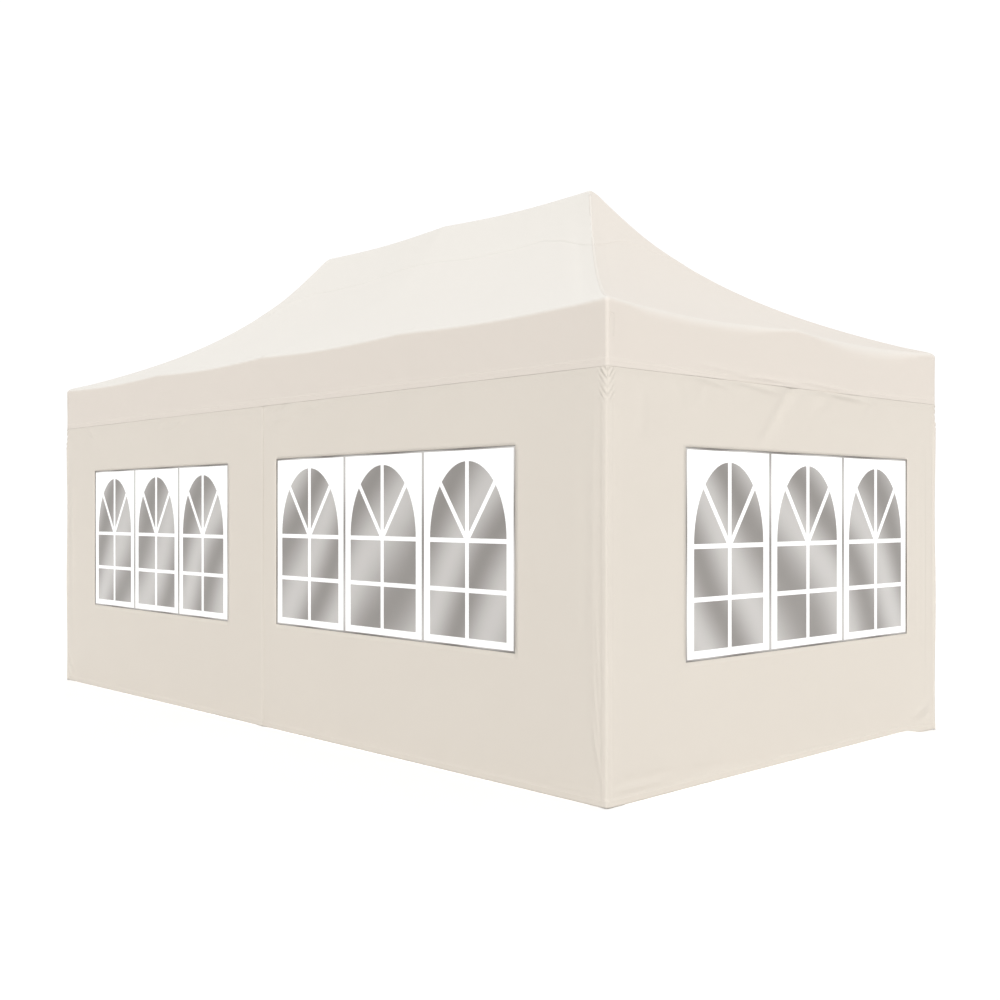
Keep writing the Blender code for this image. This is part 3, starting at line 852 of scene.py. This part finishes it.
def cloth_material(name, colour, sunlit_colour=None, tint=0.018):
    """Woven polyester: a slow tint, a fine weave and a soft crinkle. Where the cloth has
    a sunlit part, its colour runs over to the sunlit one."""
    material, tree, shader = new_material(name)
    base = colour
    if sunlit_colour:
        light = add_node(tree, "ShaderNodeAttribute", {"attribute_name": "sunlit"})
        base = between(tree, light.outputs["Fac"], colour, sunlit_colour)
    patch = add_node(tree, "ShaderNodeMapRange", Value=speckle(tree, 0.9, Detail=3.0),
                     To_Min=1 - tint, To_Max=1 + tint)
    mixed = add_node(tree, "ShaderNodeMix", {"data_type": "RGBA", "blend_type": "MULTIPLY"},
                     Factor=1.0, n6=base, n7=patch.outputs[0])
    cut = add_node(tree, "ShaderNodeUVMap", {"uv_map": "cut"})
    rows = [add_node(tree, "ShaderNodeTexWave",
                     {"wave_type": "BANDS", "bands_direction": axis},
                     Vector=cut.outputs["UV"], Scale=math.pi / (10 * YARN)).outputs["Fac"]
            for axis in ("X", "Y")]
    weave = add_node(tree, "ShaderNodeMath", {"operation": "MULTIPLY"},
                     n0=rows[0], n1=rows[1]).outputs[0]
    crinkle = speckle(tree, 7.0, Detail=4.0, Roughness=0.5)
    facing = raised(tree, weave, 0.25, 0.0002, Normal=raised(tree, crinkle, 1.0, 0.0012))
    set_shader(tree, shader, mixed.outputs[2], facing, Roughness=0.80,
               Specular_IOR_Level=0.3, Sheen_Weight=0.06, Sheen_Roughness=0.5)
    return material


wall_cloth = cloth_material("cream_wall_cloth", (0.606, 0.559, 0.497, 1.0))
cover_cloth = cloth_material("cream_cover_cloth", (0.620, 0.567, 0.510, 1.0),
                             (0.692, 0.665, 0.620, 1.0), tint=0.012)

# %% [markdown]
# The clear film is drawn as an opaque grey sheet, and its slanting light and dark bands are a
# painted reflection of the sky, in its colour. They are a wave on the film's own flat layout,
# so they keep their place from every side, and a faint ripple shows that the film is soft.
# The print is white ink with a fine grain.

# %% Film and print
def linear(red, green, blue):
    """A colour as read from a screen, turned to the linear values that a node takes."""
    return tuple(((v / 255 + 0.055) / 1.055) ** 2.4 for v in (red, green, blue)) + (1.0,)


# The film's colour is a painted reflection: it has no transmission and no sky is mirrored in
# it.
film_material, tree, shader = new_material("window_film_painted_reflection")
cut = add_node(tree, "ShaderNodeUVMap", {"uv_map": "cut"}).outputs["UV"]
turned = add_node(tree, "ShaderNodeMapping", Vector=cut,
                  Rotation=(0.0, 0.0, math.radians(38)))
# Painted reflection: slanting light and dark grey bands that stand for the mirrored sky.
bands = add_node(tree, "ShaderNodeTexWave", {"wave_type": "BANDS", "wave_profile": "SIN"},
                 Vector=turned.outputs["Vector"], Scale=0.62, Distortion=2.6,
                 Detail=0.0, Detail_Scale=1.6)
shade = between(tree, bands.outputs["Fac"], linear(134, 130, 126), linear(186, 183, 180))
ripple = raised(tree, speckle(tree, 3.0, cut), 0.4, 0.002)
set_shader(tree, shader, shade, ripple, Roughness=0.22)

print_material, tree, shader = new_material("white_window_print")
shade = between(tree, speckle(tree, 60.0), (0.93, 0.93, 0.925, 1.0), (0.98, 0.98, 0.98, 1.0))
set_shader(tree, shader, shade, Roughness=0.45)

# %% Give the cloths their finish
canopy.data.materials.append(cover_cloth)
for pieces, material in ((walls, wall_cloth), (films, film_material),
                         (prints, print_material)):
    for piece in pieces.values():
        piece.data.materials.append(material)
    print(material.name, "on", len(pieces), "pieces")

# %% [markdown]
# Where two roof panels meet, their edges are closed with a narrow tape that keeps the rain
# out. It follows the curved hip from the peak to the eave, so it uses the same rule as the
# cover and lies a fraction of a millimetre higher. A small patch of hook-and-loop tape
# closes each corner of the valance.

# %% Tapes
TAPE_HALF, TAPE_RISE, TAPE, TAPE_LIGHT = 0.011, 0.0003, 0.0006, 0.6
PATCH_RISE, PATCH = 0.0009, 0.0008


def column_at(side, down, aside):
    """The column of a side that lies this far from the hip, measured along the cloth."""
    radius = hip_radius(down)
    arc = radius * math.pi / 4
    straight = 1 - (aside - arc) / (side_spread(side, down)[0] - radius)
    return np.where(aside < arc, 2 - aside / arc, straight)


def beside_hip(side, sign, down, aside, rise):
    """Points at a distance from the hip at one end of a side, lifted a little off it."""
    points = cover_point(side, sign * column_at(side, down, aside), down)
    points[..., 2] += rise + SEAM_STEP * (1 - smooth(down, 0.268, 0.282))
    return points


tape_down = np.linspace(0.03, 0.978, 150)[:, None]
across = np.linspace(0, TAPE_HALF, 5)[None, :]
patches = []
for side, next_side in zip(SIDES, SIDES[1:] + SIDES[:1]):
    left_half = beside_hip(side, 1, tape_down, across[:, ::-1], TAPE_RISE)
    right_half = beside_hip(next_side, -1, tape_down, across, TAPE_RISE)
    grid = np.concatenate([left_half, right_half[:, 1:]], axis=1)
    along = np.concatenate([-across[:, ::-1], across[:, 1:]], axis=1)
    patches.append((grid, flat_layout(grid, along), TAPE_LIGHT))
hip_tape = thicken(sheet_mesh("hip_tape", patches), TAPE)

patches = []
aside = np.linspace(0.010, 0.040, 10)[None, :]
share = np.append(np.linspace(0.15, 0.52, 14), 0.522)[:, None]
rise = PATCH_RISE * (1 - smooth(share, 0.47, 0.525))
for side in SIDES:
    column = -column_at(side, np.ones((1, 1)), aside)
    grid = valance_point(side, column, share) + outward_of(side, column) * rise[..., None]
    patches.append((grid, flat_layout(grid, aside), 0.0))
corner_patches = thicken(sheet_mesh("corner_patches", patches), PATCH)
for piece in (hip_tape, corner_patches):
    piece.data.materials.append(cover_cloth)
    print(piece.name, len(piece.data.polygons), "faces")

# %% [markdown]
# All seams and hems are sewn with thick thread in stitches a few millimetres long. There
# are many thousands of them, so Geometry Nodes sets them out: each line of thread is a
# curve that lies on the cloth, points are set along it at an even step, and each point
# gets a small bead, drawn out along the line. A bead has few faces, because it is repeated
# so often.

# %% Stitch tree
def thread_material():
    """Twisted yarn, a little lighter than the cloth."""
    material, tree, shader = new_material("cream_thread")
    twist = speckle(tree, 700.0)
    shade = between(tree, twist, (0.68, 0.63, 0.57, 1.0), (0.80, 0.75, 0.69, 1.0))
    set_shader(tree, shader, shade, raised(tree, twist, 0.4, 0.0002), Roughness=0.7)
    return material


STITCH = {"Step": 0.0065, "Length": 0.0050, "Thickness": 0.0009}
stitches = bpy.data.node_groups.new("stitches", "GeometryNodeTree")
stitches.interface.new_socket("Lines", in_out="INPUT", socket_type="NodeSocketGeometry")
sockets = {name: stitches.interface.new_socket(name, in_out="INPUT",
                                               socket_type="NodeSocketFloat")
           for name in STITCH}
stitches.interface.new_socket("Thread", in_out="OUTPUT", socket_type="NodeSocketGeometry")
given = stitches.nodes.new("NodeGroupInput")
lines = add_node(stitches, "GeometryNodeMeshToCurve", Mesh=given.outputs["Lines"])
marks = add_node(stitches, "GeometryNodeCurveToPoints", {"mode": "LENGTH"},
                 Curve=lines.outputs["Curve"], Length=given.outputs["Step"])
bead = add_node(stitches, "GeometryNodeMeshUVSphere", Segments=4, Rings=3, Radius=0.5)
size = add_node(stitches, "ShaderNodeCombineXYZ", X=given.outputs["Thickness"],
                Y=given.outputs["Thickness"], Z=given.outputs["Length"])
laid = add_node(stitches, "GeometryNodeInstanceOnPoints", Points=marks.outputs["Points"],
                Instance=bead.outputs["Mesh"], Rotation=marks.outputs["Rotation"],
                Scale=size.outputs["Vector"])
real = add_node(stitches, "GeometryNodeRealizeInstances", Geometry=laid.outputs["Instances"])
dyed = add_node(stitches, "GeometryNodeSetMaterial", Geometry=real.outputs["Geometry"],
                Material=thread_material())
thread = stitches.nodes.new("NodeGroupOutput")
stitches.links.new(dyed.outputs["Geometry"], thread.inputs["Thread"])


def sewn(name, lines):
    """Thread along each line of points, kept as a plain mesh."""
    mesh = bpy.data.meshes.new(name)
    starts = np.cumsum([0] + [len(line) for line in lines])
    edges = [(start + k, start + k + 1) for start, line in zip(starts, lines)
             for k in range(len(line) - 1)]
    mesh.from_pydata(np.concatenate(lines).tolist(), edges, [])
    holder = placed(name, mesh)
    sewing = holder.modifiers.new("stitches", "NODES")
    sewing.node_group = stitches
    for size_name, value in STITCH.items():
        sewing[sockets[size_name].identifier] = value
    piece = placed(name, frozen(holder))
    print(name, len(piece.data.polygons), "faces")
    return piece


# %% Sew the cover
HIP_STITCH, HEM_STITCH_ROWS = 0.008, (-10, -9)
seam_rows = [k for k, share in enumerate(row_shares())
             if SEAM_ROW - 0.007 < share < SEAM_ROW - 0.001]
hem_lines = [cover_grids[side][k] for side in SIDES for k in HEM_STITCH_ROWS]
roof_lines = [cover_grids[side][k] for side in SIDES for k in seam_rows]
roof_lines += [beside_hip(side, sign, tape_down[:, 0], np.full(len(tape_down), HIP_STITCH),
                          TAPE_RISE) for side in SIDES for sign in (-1, 1)]
hem_thread = sewn("cover_hem_thread", hem_lines)
roof_thread = sewn("cover_roof_thread", roof_lines)

# %% Sew the walls
FOOT_STITCH, SIDE_STITCH, WINDOW_STITCH = 0.034, 0.022, 0.008


def ruled(start, end, step=0.015):
    """Even points on a straight line, both ends included."""
    return np.linspace(start, end, max(2, round(math.dist(start, end) / step)))


def wall_lines(wall):
    """The lines of thread of one wall: its foot, its two sides and round its window."""
    _, low, high, (sill, head), *_ = wall
    (a0, h0), (a1, h1) = np.array(sill) - WINDOW_STITCH, np.array(head) + WINDOW_STITCH
    corners = [(a0, h0), (a1, h0), (a1, h1), (a0, h1), (a0, h0)]
    flat = [ruled((low + 0.01, FOOT_STITCH), (high - 0.01, FOOT_STITCH))]
    flat += [ruled((run, 0.01), (run, WALL_TOP - 0.01))
             for run in (low + SIDE_STITCH, high - SIDE_STITCH)]
    flat += [ruled(start, end) for start, end in zip(corners, corners[1:])]
    return [wall_surface(wall, line[:, 0], line[:, 1]) for line in flat]


wall_threads = {name: sewn("wall_thread_" + name, wall_lines(rule))
                for name, rule in wall_rules.items()}

# %% [markdown]
# The frame is powder-coated steel with nylon joints. It is hidden by the cloth, but it shows
# when somebody looks in from below, so each tube gets its own coat.

# %% Coat the tubes
def coat_material(name, colour, roughness, grain):
    """Painted metal with a faint orange-peel surface."""
    material, tree, shader = new_material(name)
    darker = tuple(v * 0.86 for v in colour) + (1.0,)
    shade = between(tree, speckle(tree, 7.0, Detail=5.0), darker, colour + (1.0,))
    peel = raised(tree, speckle(tree, grain, Detail=2.0), 0.5, 0.0006)
    set_shader(tree, shader, shade, peel, Metallic=0.6, Roughness=roughness)
    return material


silver_coat = coat_material("silver_hammered_coat", (0.62, 0.63, 0.64), 0.42, 160.0)
grey_coat = coat_material("grey_satin_coat", (0.42, 0.43, 0.44), 0.35, 300.0)
for name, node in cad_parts.items():
    if name.startswith(("leg", "truss", "roof_pole")):
        coat = grey_coat if name.startswith("leg_inner") else silver_coat
        node.data.materials.clear()
        node.data.materials.append(coat)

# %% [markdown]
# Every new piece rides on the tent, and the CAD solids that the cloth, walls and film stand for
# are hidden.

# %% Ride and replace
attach(canopy, "root")
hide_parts(*["roof_" + s for s in SIDES], *["valance_" + s for s in SIDES])
sewn_on = [hip_tape, corner_patches, hem_thread, roof_thread]
for piece in sewn_on:
    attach(piece, "root")
for name, wall in walls.items():
    side, ((a0, h0), (a1, h1)) = openings[name]
    film, white, thread = films[name], prints[name], wall_threads[name]
    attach(wall, "root")
    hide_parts("wall_" + name)
    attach(film, "root")
    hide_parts("window_" + name)
    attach(white, "root")
    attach(thread, "root")

# %% [markdown]
# The studio is plain: a pale floor, a bright even sky and one soft light from high on the
# right of the camera. Thin cloth lets daylight through, so the floor under a lifted hem is
# bright, and one broad lamp inside the tent stands for that. The camera stands where the
# photograph's own camera stood, which was worked out from the corners of the tent.

# %% Floor
def floor_disc(radius):
    """A round pale floor, finely enough cut to look round."""
    work = bmesh.new()
    bmesh.ops.create_circle(work, cap_ends=True, segments=96, radius=radius)
    return from_bmesh("floor", work)


floor = floor_disc(90.0)
floor_material, tree, shader = new_material("pale_floor")
shade = between(tree, speckle(tree, 0.5), (0.93, 0.93, 0.93, 1.0), (0.96, 0.96, 0.96, 1.0))
set_shader(tree, shader, shade, Roughness=0.9)
floor.data.materials.append(floor_material)

# %% Light
WHITE, SKY_FILL, BACKDROP = (1.0, 1.0, 1.0, 1.0), 0.66, 1.05
world = bpy.data.worlds.new("studio")
bpy.context.scene.world = world
world.use_nodes = True
tree = world.node_tree
fill = tree.nodes["Background"]
fill.inputs["Color"].default_value = WHITE
fill.inputs["Strength"].default_value = SKY_FILL
backdrop = add_node(tree, "ShaderNodeBackground", Color=WHITE, Strength=BACKDROP)
rays = add_node(tree, "ShaderNodeLightPath")
both = add_node(tree, "ShaderNodeMixShader", n0=rays.outputs["Is Camera Ray"],
                n1=fill.outputs[0], n2=backdrop.outputs[0])
tree.links.new(both.outputs[0], tree.nodes["World Output"].inputs["Surface"])


def soft_light(name, towards, energy, angle):
    """A far, broad lamp. towards points from the tent to the lamp."""
    lamp = bpy.data.lights.new(name, "SUN")
    lamp.energy, lamp.angle = energy, math.radians(angle)
    placed(name, lamp).rotation_euler = Vector(towards).to_track_quat("Z", "Y").to_euler()


soft_light("key", (0.46, -0.36, 0.44), 2.2, 25)
soft_light("back_fill", (-0.5, 0.5, 0.4), 0.7, 40)
room_light = bpy.data.lights.new("room_light", "AREA")
room_light.shape, room_light.size, room_light.size_y = "RECTANGLE", 5.2, 2.3
room_light.energy = 150
placed("room_light", room_light).location = (0.0, 0.0, 1.95)

# %% Camera
lens = bpy.data.cameras.new("camera")
lens.lens, lens.sensor_width = 44.08, 36.0
lens.shift_x, lens.shift_y = -0.03994, 0.0117
lens.clip_end = 500.0
camera = placed("camera", lens)
camera.location = (6.831, -5.587, 1.361)
camera.rotation_euler = (math.radians(90), 0.0, math.radians(46.30))
bpy.context.scene.camera = camera
bpy.context.scene.view_settings.view_transform = "Standard"
